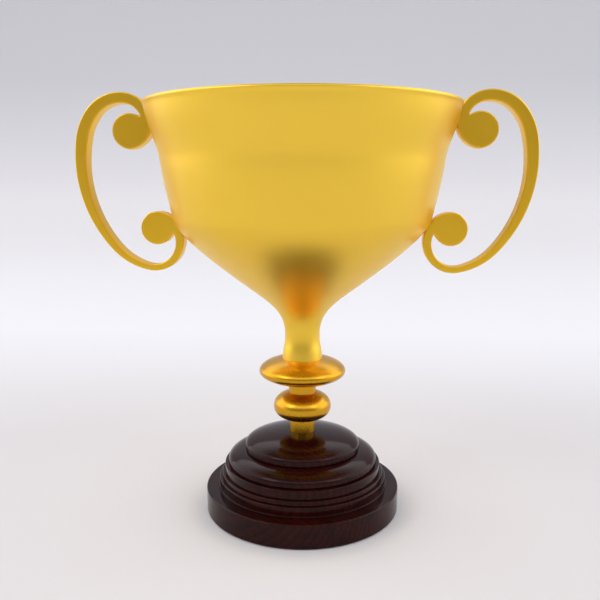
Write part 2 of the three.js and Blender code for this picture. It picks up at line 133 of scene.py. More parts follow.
turningPlan = {"facets": 192, "sharpAngle": 34.0, "weld": 0.002}  # degrees, mm


# A node tree that spins a profile into a closed solid: a grid with a row for each profile point,
# bent round the axis, welded where it meets itself, and creased where two faces meet sharply.
def turningTree():
    tree = bpy.data.node_groups.new("turning", "GeometryNodeTree")
    ids = {"geometry": addSocket(tree, "Profile", "NodeSocketGeometry")}
    ids["facets"] = addSocket(tree, "Facets", "NodeSocketInt", value=turningPlan["facets"])
    ids["sharp"] = addSocket(tree, "Sharp Angle", "NodeSocketFloat", value=0.6)
    ids["material"] = addSocket(tree, "Material", "NodeSocketMaterial")
    addSocket(tree, "Solid", "NodeSocketGeometry", "OUTPUT")
    bench = NodeBench(tree)
    source = bench.put("NodeGroupInput")
    profile, facets = source.outputs["Profile"], source.outputs["Facets"]
    size = bench.put("GeometryNodeAttributeDomainSize", None, {"Geometry": profile})
    stations = size.outputs["Point Count"]
    columns = bench.maths("ADD", facets, 1.0)
    grid = bench.put("GeometryNodeMeshGrid", None, {"Vertices X": columns, "Vertices Y": stations})
    index = bench.put("GeometryNodeInputIndex").outputs[0]
    station = bench.maths("MODULO", index, stations)
    column = bench.maths("FLOOR", bench.maths("DIVIDE", bench.maths("ADD", index, 0.5), stations))
    turn = bench.maths("DIVIDE", bench.maths("MULTIPLY", column, 2 * math.pi), facets)
    position = bench.put("GeometryNodeInputPosition").outputs[0]
    sample = bench.put("GeometryNodeSampleIndex", {"data_type": "FLOAT_VECTOR", "domain": "POINT"},
                       {"Geometry": profile, "Value": position, "Index": station})
    parts = bench.put("ShaderNodeSeparateXYZ", None, {0: sample.outputs[0]})
    radius, level = parts.outputs[0], parts.outputs[2]
    x = bench.maths("MULTIPLY", radius, bench.maths("COSINE", turn))
    y = bench.maths("MULTIPLY", radius, bench.maths("SINE", turn))
    spun = bench.put("ShaderNodeCombineXYZ", None, {0: x, 1: y, 2: level}).outputs[0]
    moved = bench.put("GeometryNodeSetPosition", None, {"Geometry": grid.outputs["Mesh"], "Position": spun})
    welded = bench.put("GeometryNodeMergeByDistance", None,
                       {"Geometry": moved.outputs[0], "Distance": turningPlan["weld"] * millimetre})
    angle = bench.put("GeometryNodeInputMeshEdgeAngle").outputs["Unsigned Angle"]
    soft = bench.put("FunctionNodeCompare", {"operation": "LESS_THAN"},
                     {0: angle, 1: source.outputs["Sharp Angle"]})
    faces = bench.put("GeometryNodeSetShadeSmooth", {"domain": "FACE"}, {"Geometry": welded.outputs[0]})
    edges = bench.put("GeometryNodeSetShadeSmooth", {"domain": "EDGE"},
                      {"Geometry": faces.outputs[0], "Shade Smooth": soft.outputs[0]})
    real = bench.put("GeometryNodeRealizeInstances", None, {0: edges.outputs[0]})
    painted = bench.put("GeometryNodeSetMaterial", None,
                        {"Geometry": real.outputs[0], "Material": source.outputs["Material"]})
    bench.put("NodeGroupOutput", None, {0: painted.outputs[0]})
    return tree, ids


turning, turningIds = turningTree()


# Turns an object with a live node modifier into plain mesh data, with faces out.
def settled(holder, name):
    bpy.context.view_layer.update()
    ready = holder.evaluated_get(bpy.context.evaluated_depsgraph_get())
    mesh = bpy.data.meshes.new_from_object(ready)
    mesh.name = name
    bpy.data.objects.remove(holder)
    work = bmesh.new()
    work.from_mesh(mesh)
    bmesh.ops.dissolve_degenerate(work, dist=1e-7, edges=work.edges)
    bmesh.ops.recalc_face_normals(work, faces=work.faces)
    work.to_mesh(mesh)
    work.free()
    piece = bpy.data.objects.new(name, mesh)
    bpy.context.scene.collection.objects.link(piece)
    return piece


def linkedMesh(name, vertices, edges=(), faces=()):
    mesh = bpy.data.meshes.new(name)
    mesh.from_pydata(vertices, list(edges), list(faces))
    mesh.update()
    thing = bpy.data.objects.new(name, mesh)
    bpy.context.scene.collection.objects.link(thing)
    return thing


# A closed profile, as (radius, level) pairs in metres, spun round the Z axis.
def turned(name, profile, material, facets=turningPlan["facets"]):
    vertices = [(r, 0.0, z) for r, z in profile]
    vertices.append(vertices[0])
    holder = linkedMesh(name + "_profile", vertices, [(i, i + 1) for i in range(len(vertices) - 1)])
    modifier = holder.modifiers.new("turning", "NODES")
    modifier.node_group = turning
    modifier[turningIds["facets"]] = facets
    modifier[turningIds["sharp"]] = math.radians(turningPlan["sharpAngle"])
    modifier[turningIds["material"]] = material
    return settled(holder, name)


def stands(piece, slot, *nodes):
    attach(piece, "root")
    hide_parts(*nodes)
    return piece


class Wire:
    def __init__(self, finish, socket):
        self.finish, self.socket = finish, socket

    def maths(self, operation, other=0.0, swapped=False):
        pair = (other, self) if swapped else (self, other)
        return self.finish.put("ShaderNodeMath", {"operation": operation}, {0: pair[0], 1: pair[1]})

    def __add__(self, other):
        return self.maths("ADD", other)

    def __sub__(self, other):
        return self.maths("SUBTRACT", other)

    def __mul__(self, other):
        return self.maths("MULTIPLY", other)

    def __truediv__(self, other):
        return self.maths("DIVIDE", other)

    def __pow__(self, other):
        return self.maths("POWER", other)

    def __rsub__(self, other):
        return self.maths("SUBTRACT", other, swapped=True)

    def __rtruediv__(self, other):
        return self.maths("DIVIDE", other, swapped=True)

    __radd__ = __add__
    __rmul__ = __mul__

    def clamped(self, lowest, highest):
        return self.maths("MAXIMUM", lowest).maths("MINIMUM", highest)


class Finish:
    def __init__(self, holder):
        self.material = holder  # a material, or the world
        holder.use_nodes = True
        self.tree = holder.node_tree
        self.tree.nodes.clear()

    def put(self, kind, settings=None, inputs=None, out=0):
        node = self.tree.nodes.new(kind)
        for key, value in (settings or {}).items():
            if key == "stops":
                stops = node.color_ramp.elements
                while len(stops) < len(value):
                    stops.new(0.5)
                for stop, (place, colour) in zip(stops, value):
                    stop.position, stop.color = place, (*colour, 1.0)
            else:
                setattr(node, key, value)
        for key, value in (inputs or {}).items():
            socket = node.inputs[key]
            if isinstance(value, Wire):
                self.tree.links.new(value.socket, socket)
            else:
                socket.default_value = value
        return Wire(self, node.outputs[out])

    def place(self):
        return self.put("ShaderNodeTexCoord", out="Object")

    def parts(self, vector):
        node = self.put("ShaderNodeSeparateXYZ", None, {0: vector}).socket.node
        return [Wire(self, socket) for socket in node.outputs]

    def vector(self, x, y, z):
        return self.put("ShaderNodeCombineXYZ", None, {0: x, 1: y, 2: z})

    def noise(self, vector, scale, detail=3.0, rough=0.5, distortion=0.0):
        return self.put("ShaderNodeTexNoise", None, {"Vector": vector, "Scale": scale, "Detail": detail,
                                                     "Roughness": rough, "Distortion": distortion})

    def ramp(self, value, stops):
        return self.put("ShaderNodeValToRGB", {"stops": stops}, {0: value})

    def mixed(self, factor, a, b, mode="MIX"):
        full = [(*c, 1.0) if isinstance(c, tuple) and len(c) == 3 else c for c in (a, b)]
        return self.put("ShaderNodeMix", {"data_type": "RGBA", "blend_type": mode},
                        {0: factor, 6: full[0], 7: full[1]}, out=2)

    def bumped(self, height, strength, distance, normal=None):
        inputs = {"Strength": strength, "Distance": distance, "Height": height}
        if normal is not None:
            inputs["Normal"] = normal
        return self.put("ShaderNodeBump", None, inputs)

    def finished(self, sockets):
        shader = self.put("ShaderNodeBsdfPrincipled", None, sockets)
        sink = self.tree.nodes.new("ShaderNodeOutputMaterial")
        self.tree.links.new(shader.socket, sink.inputs["Surface"])
        return self.material


# lines is how deep the lathe's rings are, as a share of the whole relief
goldLook = {
    "cup": {"colour": (0.905, 0.585, 0.056), "pale": (0.925, 0.625, 0.078), "roughness": 0.385,
            "lines": 0.12},
    "handle": {"colour": (0.87, 0.51, 0.027), "pale": (0.89, 0.55, 0.040), "roughness": 0.36, "lines": 0.0},
    # the stem's colours are painted shade: a darker copy of the gold, standing in for the dim ceiling that
    # the knops reflect
    "stem": {"colour": (0.62, 0.31, 0.013), "pale": (0.70, 0.38, 0.030), "roughness": 0.29, "lines": 0.06},
}


goldGrain = {"rings": 2600.0, "bands": 260.0, "patches": 26.0, "specks": 1500.0}  # noise scales


# Gold plate. The lathe leaves fine rings; handling leaves soft patches.
def goldPlate(name, look):
    gold = Finish(bpy.data.materials.new(name))
    place = gold.place()
    x, y, z = gold.parts(place)
    radius = (x * x + y * y) ** 0.5
    along = z + radius * 0.7  # grows along the surface whether it is upright or flat
    spoke = 0.004 / (radius + 0.001)  # keeps the noise nearly constant round each ring
    ringPlace = gold.vector(x * spoke, y * spoke, along)
    rings = gold.noise(ringPlace, goldGrain["rings"], 3.0, 0.6)
    bands = gold.noise(ringPlace, goldGrain["bands"], 2.0, 0.5)
    patches = gold.noise(place, goldGrain["patches"], 4.0, 0.55)
    specks = gold.noise(place, goldGrain["specks"], 2.0, 0.6)
    tone = gold.mixed((patches * 0.7 + bands * 0.3).clamped(0.0, 1.0), look["colour"], look["pale"])
    roughness = (look["roughness"] + (patches - 0.5) * 0.10 + (specks - 0.5) * 0.08
                 + (rings - 0.5) * 0.06).clamped(0.05, 0.9)
    height = rings * look["lines"] + specks * 0.25 + patches * 0.4
    normal = gold.bumped(height, 0.10, 0.12 * millimetre)
    return gold.finished({"Base Color": tone, "Metallic": 1.0, "Roughness": roughness, "Normal": normal,
                          "Specular IOR Level": 0.5})


cupGold = goldPlate("cup_gold", goldLook["cup"])
handleGold = goldPlate("handle_gold", goldLook["handle"])
# the stem gold carries painted shade: the same plate, darkened for the dim reflection on the knops
shadedStemGold = goldPlate("stem_gold", goldLook["stem"])

woodLook = {
    "dark": (0.0020, 0.0008, 0.0008),
    "mid": (0.0080, 0.0013, 0.0011),
    "red": (0.0460, 0.0052, 0.0030),
    "grainAngle": 38.0,  # degrees about Z
    "ringSpacing": 3.4,  # mm
    "sway": 34.0, "figure": 95.0, "pores": 1900.0, "levelling": 90.0,  # noise scales
}


# Stained hardwood under lacquer: wavy growth rings, long pores and a red glow between them.
def stainedWood(name, look):
    wood = Finish(bpy.data.materials.new(name))
    place = wood.put("ShaderNodeMapping", None, {
        "Vector": wood.place(), "Location": (0.03, 0.11, -0.02),
        "Rotation": (math.radians(7.0), math.radians(4.0), math.radians(look["grainAngle"]))})
    x, y, z = wood.parts(place)
    long = wood.vector(x * 0.16, y, z)
    sway = wood.noise(long, look["sway"], 3.0, 0.5)
    fromHeart = ((y * y + (z * 1.3) ** 2.0) ** 0.5) + (sway - 0.5) * 0.006
    ringPhase = fromHeart / (look["ringSpacing"] * millimetre)
    rings = wood.put("ShaderNodeMath", {"operation": "FRACT"}, {0: ringPhase})
    late = rings ** 2.2
    pores = wood.noise(wood.vector(x * 0.05, y, z), look["pores"], 2.0, 0.55)
    poreMask = ((pores - 0.57) * 7.0).clamped(0.0, 1.0)
    figure = wood.noise(long, look["figure"], 4.0, 0.6)
    tone = wood.mixed(late * 0.75, look["red"], look["mid"])
    tone = wood.mixed((figure * 1.5 - 0.3).clamped(0.0, 1.0), look["mid"], tone)
    tone = wood.mixed(poreMask * 0.8, tone, look["dark"])
    height = late * 0.25 + (1.0 - poreMask) * 0.5
    under = wood.bumped(height, 0.05, 0.05 * millimetre)
    levelling = wood.noise(wood.place(), look["levelling"], 2.0, 0.5)
    normal = wood.bumped(levelling, 0.04, 0.2 * millimetre, under)
    roughness = (0.12 + (figure - 0.5) * 0.08 + poreMask * 0.06).clamped(0.05, 0.9)
    return wood.finished({"Base Color": tone, "Roughness": roughness, "Normal": normal, "IOR": 1.46,
                          "Specular IOR Level": 0.17})


baseWood = stainedWood("base_wood", woodLook)


metalGrain = {"grain": 900.0, "cloud": 90.0}  # noise scales


# Plain metal, dulled in clouds and finely grained.
def bareMetal(name, colour, roughness):
    metal = Finish(bpy.data.materials.new(name))
    place = metal.place()
    grain = metal.noise(place, metalGrain["grain"], 3.0, 0.6)
    cloud = metal.noise(place, metalGrain["cloud"], 3.0, 0.5)
    dull = tuple(c * 0.72 for c in colour)
    tone = metal.mixed((cloud * 1.4 - 0.2).clamped(0.0, 1.0), dull, colour)
    rough = (roughness + (cloud - 0.5) * 0.2 + (grain - 0.5) * 0.12).clamped(0.05, 0.95)
    normal = metal.bumped(grain, 0.2, 0.06 * millimetre)
    return metal.finished({"Base Color": tone, "Metallic": 1.0, "Roughness": rough, "Normal": normal})


zincSteel = bareMetal("zinc_steel", (0.62, 0.63, 0.65), 0.38)
plugBrass = bareMetal("plug_brass", (0.80, 0.56, 0.20), 0.30)
screwBrass = bareMetal("screw_brass", (0.84, 0.60, 0.20), 0.28)
woodScrewBrass = bareMetal("wood_screw_brass", (0.66, 0.48, 0.20), 0.42)

baizeLook = {
    "deep": (0.008, 0.030, 0.016), "light": (0.030, 0.085, 0.048),
    "fibre": 1400.0, "tuft": 260.0,  # noise scales
}


def woolBaize(name, look):
    baize = Finish(bpy.data.materials.new(name))
    place = baize.place()
    fibres = baize.noise(place, look["fibre"], 4.0, 0.7, 1.2)
    tufts = baize.noise(place, look["tuft"], 3.0, 0.6)
    tone = baize.mixed((fibres * 0.8 + tufts * 0.4 - 0.1).clamped(0.0, 1.0), look["deep"], look["light"])
    normal = baize.bumped(fibres + tufts, 0.8, 0.3 * millimetre)
    return baize.finished({"Base Color": tone, "Roughness": 0.95, "Normal": normal,
                           "Sheen Weight": 0.35, "Sheen Roughness": 0.5})


greenBaize = woolBaize("green_baize", baizeLook)
print("finishes made")


cupShape = {
    # stations of the outside: radius and height above the foot in mm, lean in degrees, and the
    # lengths over which the curve follows that lean below and above the station
    "stations": [
        (12.2, 0.0, -4.5, 0.0, 8.9),
        (10.6, 14.4, 0.0, 7.4, 13.4),
        (31.7, 43.3, 53.0, 16.3, 25.9),
        (76.0, 85.4, 13.0, 10.5, 8.8),
        (82.4, 117.9, 7.0, 10.2, 10.0),
        (91.0, 149.8, 9.0, 15.0, 0.0),
    ],
    "steps": [10, 20, 24, 14, 18],
    "wall": 1.6,
    "bead": 0.35,
    "beadArc": (-46, 226, 18),  # from and to in degrees, and steps
    "facets": 288,
}


def cupOutside(shape, offset=0.0):
    def station(entry, reach):
        radius, height, lean = entry[:3]
        lean = math.radians(lean)
        return radius + reach * math.sin(lean), height + reach * math.cos(lean)

    points = []
    for i, count in enumerate(shape["steps"]):
        a, b = shape["stations"][i], shape["stations"][i + 1]
        run = bezier(station(a, 0), station(a, a[4]), station(b, -b[3]), station(b, 0), count)
        points += run if i == 0 else run[1:]
    moved = []
    for i, (r, z) in enumerate(points):
        before, after = points[max(i - 1, 0)], points[min(i + 1, len(points) - 1)]
        run = Vector((after[0] - before[0], after[1] - before[1])).normalized()
        moved.append((r + offset * run.y, z - offset * run.x))
    return moved


cupFoot = low("cup_bowl").z
cupOutline = [(r * millimetre, cupFoot + z * millimetre) for r, z in cupOutside(cupShape)]


def wallRadius(level):
    for (r0, z0), (r1, z1) in zip(cupOutline, cupOutline[1:]):
        if z0 <= level <= z1:
            return r0 + (r1 - r0) * (level - z0) / (z1 - z0)
    return 0.0


def makeCup():
    shape = cupShape
    outside, inside = cupOutside(shape), cupOutside(shape, -shape["wall"])
    lean = math.radians(shape["stations"][-1][2])
    lipRadius, lipHeight = shape["stations"][-1][:2]
    half = shape["wall"] / 2
    bead = ellipseArc(lipRadius - half * math.cos(lean), lipHeight + half * math.sin(lean),
                      half + shape["bead"], half + shape["bead"], *shape["beadArc"])
    outside, inside = outside[:-1], inside[:-1]
    inside[0] = (inside[0][0], 0.0)
    profile = [(r * millimetre, cupFoot + z * millimetre) for r, z in outside + bead + inside[::-1]]
    foot = cupFoot - jointGap
    profile = [(profile[0][0], foot)] + profile[1:-1] + [(profile[-1][0], foot)]
    return stands(turned("cup", profile, cupGold, shape["facets"]), "cup_gold", "cup_bowl")


makeCup()
print("cup turned")


handleShape = {
    "start": (102.8, 223.0, 178.7, 4.6),  # u, z, heading in degrees, width
    # arcs of the spine: radius, sweep in degrees, width at the arc's end
    "arcs": [(12.0, 72.6, 5.7), (14.7, 98.1, 6.2), (21.2, 57.3, 7.1), (33.0, 28.7, 7.35),
             (75.2, 53.8, 4.5), (37.8, 35.2, 3.5), (15.9, 155.1, 5.6), (10.8, 66.0, 6.4)],
    "bosses": [(101.3, 231.3, 10.4), (86.8, 174.5, 9.7)],
    "drawnSeats": [(89.2, 238.0), (74.3, 177.5)],
    "seatDrops": (7.4, 67.9),
    "round": 0.7,
    "roundSteps": 4,
    "bossSteps": 60,
    "spacing": 0.55,  # between two points of the outline
    "passes": 6,  # of smoothing
    "bury": 0.6,  # how far the seats reach into the cup's wall
}


def handleEdges(shape):
    u, z, heading, width = shape["start"]
    heading = math.radians(heading)
    outer, inner = [], []
    for radius, sweep, nextWidth in shape["arcs"]:
        count = max(8, int(sweep / 2.0))
        centre = (u + radius * math.sin(heading), z - radius * math.cos(heading))
        for i in range(count + 1):
            direction = heading - math.radians(sweep) * i / count
            su, sz = math.sin(direction), math.cos(direction)
            at = (centre[0] - radius * su, centre[1] + radius * sz)
            half = (width + (nextWidth - width) * i / count) / 2
            outer.append(Vector((at[0] - half * su, at[1] + half * sz)))
            inner.append(Vector((at[0] + half * su, at[1] - half * sz)))
        u, z = at
        heading -= math.radians(sweep)
        width = nextWidth
    return outer, inner


# The way round a boss from one point to another, with the boss on the right.
def arcRound(boss, start, end, count):
    u, z, radius = boss
    first = math.atan2(start.y - z, start.x - u)
    last = math.atan2(end.y - z, end.x - u)
    if last > first:
        last -= 2 * math.pi
    points = []
    for k in range(1, count):
        angle = first + (last - first) * k / count
        points.append(Vector((u + radius * math.cos(angle), z + radius * math.sin(angle))))
    return points


def evenlySpaced(points, spacing):
    closed = points + [points[0]]
    lengths = [0.0]
    for a, b in zip(closed, closed[1:]):
        lengths.append(lengths[-1] + (b - a).length)
    count = int(lengths[-1] / spacing)
    spaced, k = [], 0
    for i in range(count):
        target = lengths[-1] * i / count
        while lengths[k + 1] < target:
            k += 1
        share = (target - lengths[k]) / max(lengths[k + 1] - lengths[k], 1e-9)
        spaced.append(closed[k].lerp(closed[k + 1], share))
    return spaced


def smoothedLoop(points, passes):
    for _ in range(passes):
        following = points[1:] + points[:1]
        points = [(points[i - 1] + here * 2 + following[i]) / 4 for i, here in enumerate(points)]
    return points


def handleOutline(shape):
    outer, inner = handleEdges(shape)
    upper, lower = shape["bosses"]

    def within(point, boss):
        return (point - Vector(boss[:2])).length < boss[2]

    middle = len(inner) // 2
    first = next(i for i in range(middle, 0, -1) if within(inner[i], upper))
    last = next(i for i in range(middle, len(inner)) if within(inner[i], lower))
    run = inner[first + 1:last]
    steps = shape["bossSteps"]
    lowerArc = arcRound(lower, outer[-1], run[-1], steps)
    upperArc = arcRound(upper, run[0], outer[0], steps)
    loop = outer + lowerArc + run[::-1] + upperArc
    return smoothedLoop(evenlySpaced(loop, shape["spacing"]), shape["passes"])


# Turns and scales the drawn handle so that its two seats meet the cup's wall, then trims it there.
def fittedOutline(shape):
    lip = cupFoot + cupShape["stations"][-1][1] * millimetre
    seatLevels = [lip - drop * millimetre for drop in shape["seatDrops"]]
    real = [Vector((wallRadius(level), level)) for level in seatLevels]
    drawn = [Vector(seat) * millimetre for seat in shape["drawnSeats"]]
    realRun, drawnRun = real[1] - real[0], drawn[1] - drawn[0]
    scale = realRun.length / drawnRun.length
    turn = math.atan2(realRun.y, realRun.x) - math.atan2(drawnRun.y, drawnRun.x)
    cos, sin = math.cos(turn) * scale, math.sin(turn) * scale
    fitted = []
    for point in handleOutline(shape):
        arm = point * millimetre - drawn[0]
        u, z = real[0].x + arm.x * cos - arm.y * sin, real[0].y + arm.x * sin + arm.y * cos
        fitted.append(Vector((max(u, wallRadius(z) - shape["bury"] * millimetre), z)))
    return fitted


def insetLoop(loop, distance):
    moved = []
    for i, p in enumerate(loop):
        run = (loop[(i + 1) % len(loop)] - loop[i - 1]).normalized()
        moved.append(p + Vector((-run.y, run.x)) * distance)
    return moved


def makeHandle(name, node, turn):
    shape = handleShape
    loop = fittedOutline(shape)
    area = sum(a.x * b.y - b.x * a.y for a, b in zip(loop, loop[1:] + loop[:1]))
    if area < 0:
        loop.reverse()
    thickness = high("right_handle").y - low("right_handle").y
    ease = shape["round"] * millimetre
    levels = [(0.0, thickness / 2 - ease - 0.3 * millimetre)]
    for k in range(shape["roundSteps"] + 1):
        angle = math.pi / 2 * k / shape["roundSteps"]
        levels.append((ease * (1 - math.cos(angle)), thickness / 2 - ease + ease * math.sin(angle)))
    levels.append((ease + 0.2 * millimetre, thickness / 2))
    rings = [(inset, -y) for inset, y in levels[::-1]] + levels
    cos, sin = math.cos(turn), math.sin(turn)
    vertices, faces = [], []
    for inset, y in rings:
        for p in insetLoop(loop, inset):
            vertices.append((p.x * cos - y * sin, p.x * sin + y * cos, p.y))
    size = len(loop)
    for k in range(len(rings) - 1):
        for i in range(size):
            j = (i + 1) % size
            faces.append((k * size + i, k * size + j, (k + 1) * size + j, (k + 1) * size + i))
    faces.append(tuple(reversed(range(size))))
    faces.append(tuple(range((len(rings) - 1) * size, len(rings) * size)))
    handle = linkedMesh(name, vertices, (), faces)
    work = bmesh.new()
    work.from_mesh(handle.data)
    bmesh.ops.recalc_face_normals(work, faces=work.faces)
    for face in work.faces:
        face.smooth = len(face.verts) == 4
    work.to_mesh(handle.data)
    work.free()
    handle.data.materials.append(handleGold)
    return stands(handle, "handle_gold", node)


makeHandle("handle_right", "right_handle", 0.0)
makeHandle("handle_left", "left_handle", math.pi)
print("handles cut")


knopShape = {
    "upper": {"radius": 26.5, "rise": 9.0, "drop": 8.1, "fullness": 2.0, "landTop": 12.6, "landBottom": 8.8},
    "lower": {"radius": 17.7, "rise": 9.7, "drop": 9.1, "fullness": 2.3, "landTop": 8.8, "landBottom": 8.3},
    "bore": 3.3,
    "steps": 26,
}


def knopSide(shape, height, land, sign, middle):
    power = 2 / shape["fullness"]
    landAngle = math.acos((land / shape["radius"]) ** (1 / power))
    points = []
    for k in range(1, knopShape["steps"] + 1):
        angle = landAngle * k / knopShape["steps"]
        radius = shape["radius"] * math.cos(angle) ** power
        points.append((radius, middle + sign * height * math.sin(angle) ** power))
    return points


def makeKnop(name, node, shape):
    bottom, top = low(node).z / millimetre, high(node).z / millimetre
    reach = (1 - (shape["landBottom"] / shape["radius"]) ** shape["fullness"]) ** (1 / shape["fullness"])
    middle = bottom + shape["drop"] * reach
    below = knopSide(shape, shape["drop"], shape["landBottom"], -1, middle)[::-1]
    above = knopSide(shape, shape["rise"], shape["landTop"], 1, middle)
    bore = knopShape["bore"]
    profile = below + [(shape["radius"], middle)] + above + [(bore, top), (bore, bottom)]
    return stands(turned(name, scaled(profile), shadedStemGold), "stem_gold", node)


makeKnop("knop_upper", "upper_knop", knopShape["upper"])
makeKnop("knop_lower", "lower_knop", knopShape["lower"])


# A short ring of the stem, reaching the pieces above and below it.
def makeTube(name, node):
    lowest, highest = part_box(node)
    bore = knopShape["bore"] * millimetre
    bottom, top = lowest.z - jointGap, highest.z + jointGap
    profile = easedProfile([(highest.x, bottom, 0), (highest.x, top, 0), (bore, top, 0), (bore, bottom, 0)])
    return stands(turned(name, profile, shadedStemGold), "stem_gold", node)


makeTube("spacer", "knop_spacer")
makeTube("column", "stem_column")
print("stem turned")


# ease is the rounding of an edge. A foot is a tier's eased lower edge, as steps outwards and upwards
# from its lower corner, and starts one joint gap lower so that no light shows between two tiers.
baseShape = {
    "bore": 3.3,
    "facets": 256,
    "plinth": {"ease": 0.9, "recessMargin": 5.5, "recessTop": 1.8, "web": 4.0, "counterbore": 19.0},
    "steps": {"insets": [0.0, 1.7, 3.5], "heights": [5.9, 2.9, 5.5], "ease": 0.55, "beadProud": 0.8,
              "beadHeight": 0.8, "groove": 0.35},
    "shoulder": {"edge": 2.0, "width": 13.8, "ease": 0.4, "landMargin": 1.0, "steps": 48,
                 "foot": [(-0.5, -0.3), (-0.35, -0.05), (0.0, 0.35), (0.0, 0.6)]},
    "dome": {"edge": 3.0, "rise": 8.1, "chamfer": 0.5, "seat": 2.0, "ease": 0.4, "steps": 72,
             "foot": [(-0.8, -0.3), (-0.5, 0.0), (0.0, 0.5), (0.0, 0.7)]},
}


def makePlinth():
    shape = baseShape["plinth"]
    lowest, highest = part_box("base_plinth")
    radius, bottom, top = highest.x / millimetre, lowest.z / millimetre, highest.z / millimetre
    recess, bore, ease = radius - shape["recessMargin"], baseShape["bore"], shape["ease"]
    corners = [
        (recess, bottom, 0.3), (radius, bottom, ease), (radius, top, ease), (bore, top, 0),
        (bore, top - shape["web"], 0), (shape["counterbore"], top - shape["web"], 0),
        (shape["counterbore"], shape["recessTop"], 0), (recess, shape["recessTop"], 0)]
    profile = easedProfile([(r * millimetre, z * millimetre, e * millimetre) for r, z, e in corners], 7)
    return stands(turned("plinth", profile, baseWood, baseShape["facets"]), "base_wood", "base_plinth")


def makeSteps():
    shape = baseShape["steps"]
    lowest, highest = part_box("base_steps")
    bead = highest.x / millimetre
    bottom, top = (lowest.z - jointGap) / millimetre, highest.z / millimetre
    foot = bead - shape["beadProud"]
    level = lowest.z / millimetre
    corners = [(bead, bottom, 0), (bead, level + shape["beadHeight"], 0.35)]
    for i, (inset, height) in enumerate(zip(shape["insets"], shape["heights"])):
        radius = foot - inset
        base = level + shape["beadHeight"] if i == 0 else level
        corners.append((radius, base, 0.1))
        level += height
        corners.append((radius, level, shape["ease"]))
        if i + 1 < len(shape["insets"]):
            inner = foot - shape["insets"][i + 1] - shape["groove"]
            corners += [(inner, level, 0.05), (inner, level + shape["groove"], 0.05)]
    bore = baseShape["bore"]
    corners += [(bore, top, 0), (bore, bottom, 0)]
    profile = easedProfile([(r * millimetre, z * millimetre, e * millimetre) for r, z, e in corners], 6)
    return stands(turned("stepped_tier", profile, baseWood, baseShape["facets"]), "base_wood", "base_steps")


def makeShoulder():
    shape, capShape = baseShape["shoulder"], baseShape["dome"]
    lowest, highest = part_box("base_shoulder")
    bottom, top, widest = lowest.z / millimetre, highest.z / millimetre, highest.x / millimetre
    centre = widest - shape["width"]
    land = high("base_dome").x / millimetre - capShape["chamfer"]
    landAngle = math.acos((land - centre) / shape["width"])
    rollHeight = (top - bottom - shape["edge"]) / math.sin(landAngle)
    roll = ellipseArc(centre, bottom + shape["edge"], shape["width"], rollHeight, 0,
                      math.degrees(landAngle), shape["steps"])
    foot = [(widest + out, bottom + up) for out, up in shape["foot"]]
    foot.append((widest, bottom + shape["edge"] - shape["ease"]))
    bore = baseShape["bore"]
    profile = foot + roll + [(land - shape["landMargin"], top), (bore, top), (bore, foot[0][1])]
    tier = turned("shoulder", scaled(profile), baseWood, baseShape["facets"])
    return stands(tier, "base_wood", "base_shoulder")


def makeDome():
    shape = baseShape["dome"]
    lowest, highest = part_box("base_dome")
    radius, bottom = highest.x / millimetre, lowest.z / millimetre
    widest = bottom + shape["edge"]
    seat = high("stem_column").x / millimetre
    seatAngle = math.degrees(math.acos(seat / radius))
    surface = ellipseArc(0, widest, radius, shape["rise"], 0, seatAngle, shape["steps"])
    seatLevel = surface[-1][1] - shape["seat"]
    bore = baseShape["bore"]
    foot = [(radius + out, bottom + up) for out, up in shape["foot"]]
    foot.append((radius, widest - shape["ease"]))
    profile = foot + surface + [(seat, seatLevel), (bore, seatLevel), (bore, foot[0][1])]
    return stands(turned("dome", scaled(profile), baseWood, baseShape["facets"]), "base_wood", "base_dome")


makePlinth()
makeSteps()
makeShoulder()
makeDome()
print("base turned")


# Fixings that stay as the CAD made them, with better finishes.
keptFinishes = {
    "tie_rod": zincSteel, "clamp_washer": zincSteel, "spring_washer": zincSteel, "hex_nut": zincSteel,
    "neck_plug": plugBrass,
}
for side in ("left", "right"):
    for spot in ("upper", "lower"):
        keptFinishes[side + "_" + spot + "_screw"] = screwBrass
        keptFinishes[side + "_" + spot + "_washer"] = screwBrass
for number in (1, 2, 3):
    keptFinishes["plinth_screw_" + str(number)] = woodScrewBrass
for node, material in keptFinishes.items():
    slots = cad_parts[node].data.materials
    slots.clear()
    slots.append(material)


baizeShape = {"rings": 26, "spokes": 160, "crowding": 0.9, "ripple": 0.04, "ripples": 7, "clearance": 0.05}


def makeBaize():
    shape = baizeShape
    lowest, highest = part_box("base_baize")
    radius, top = highest.x, highest.z
    thickness = top - lowest.z
    rings, spokes = shape["rings"], shape["spokes"]
    clearance = shape["clearance"] * millimetre
    vertices, faces = [], []
    for i in range(rings + 1):
        r = radius * (i / rings) ** shape["crowding"]
        for k in range(spokes):
            angle = 2 * math.pi * k / spokes
            ripple = math.sin(shape["ripples"] * angle + 40 * r) * (i / rings)
            level = top - clearance + shape["ripple"] * millimetre * ripple
            vertices.append((r * math.cos(angle), r * math.sin(angle), level))
    for i in range(rings):
        for k in range(spokes):
            a, b = i * spokes + k, i * spokes + (k + 1) % spokes
            faces.append((a, a + spokes, b + spokes, b))
    disc = linkedMesh("baize", vertices, (), faces)
    work = bmesh.new()
    work.from_mesh(disc.data)
    bmesh.ops.remove_doubles(work, verts=work.verts, dist=1e-6)
    bmesh.ops.recalc_face_normals(work, faces=work.faces)
    for face in work.faces:
        face.smooth = True
    work.to_mesh(disc.data)
    work.free()
    disc.data.materials.append(greenBaize)
    wall = disc.modifiers.new("thickness", "SOLIDIFY")
    wall.thickness = thickness - 2 * clearance
    wall.offset = -1.0
    plain = settled(disc, "baize")
    stands(plain, "green_baize", "base_baize")
    return plain


makeBaize()
print("baize laid")


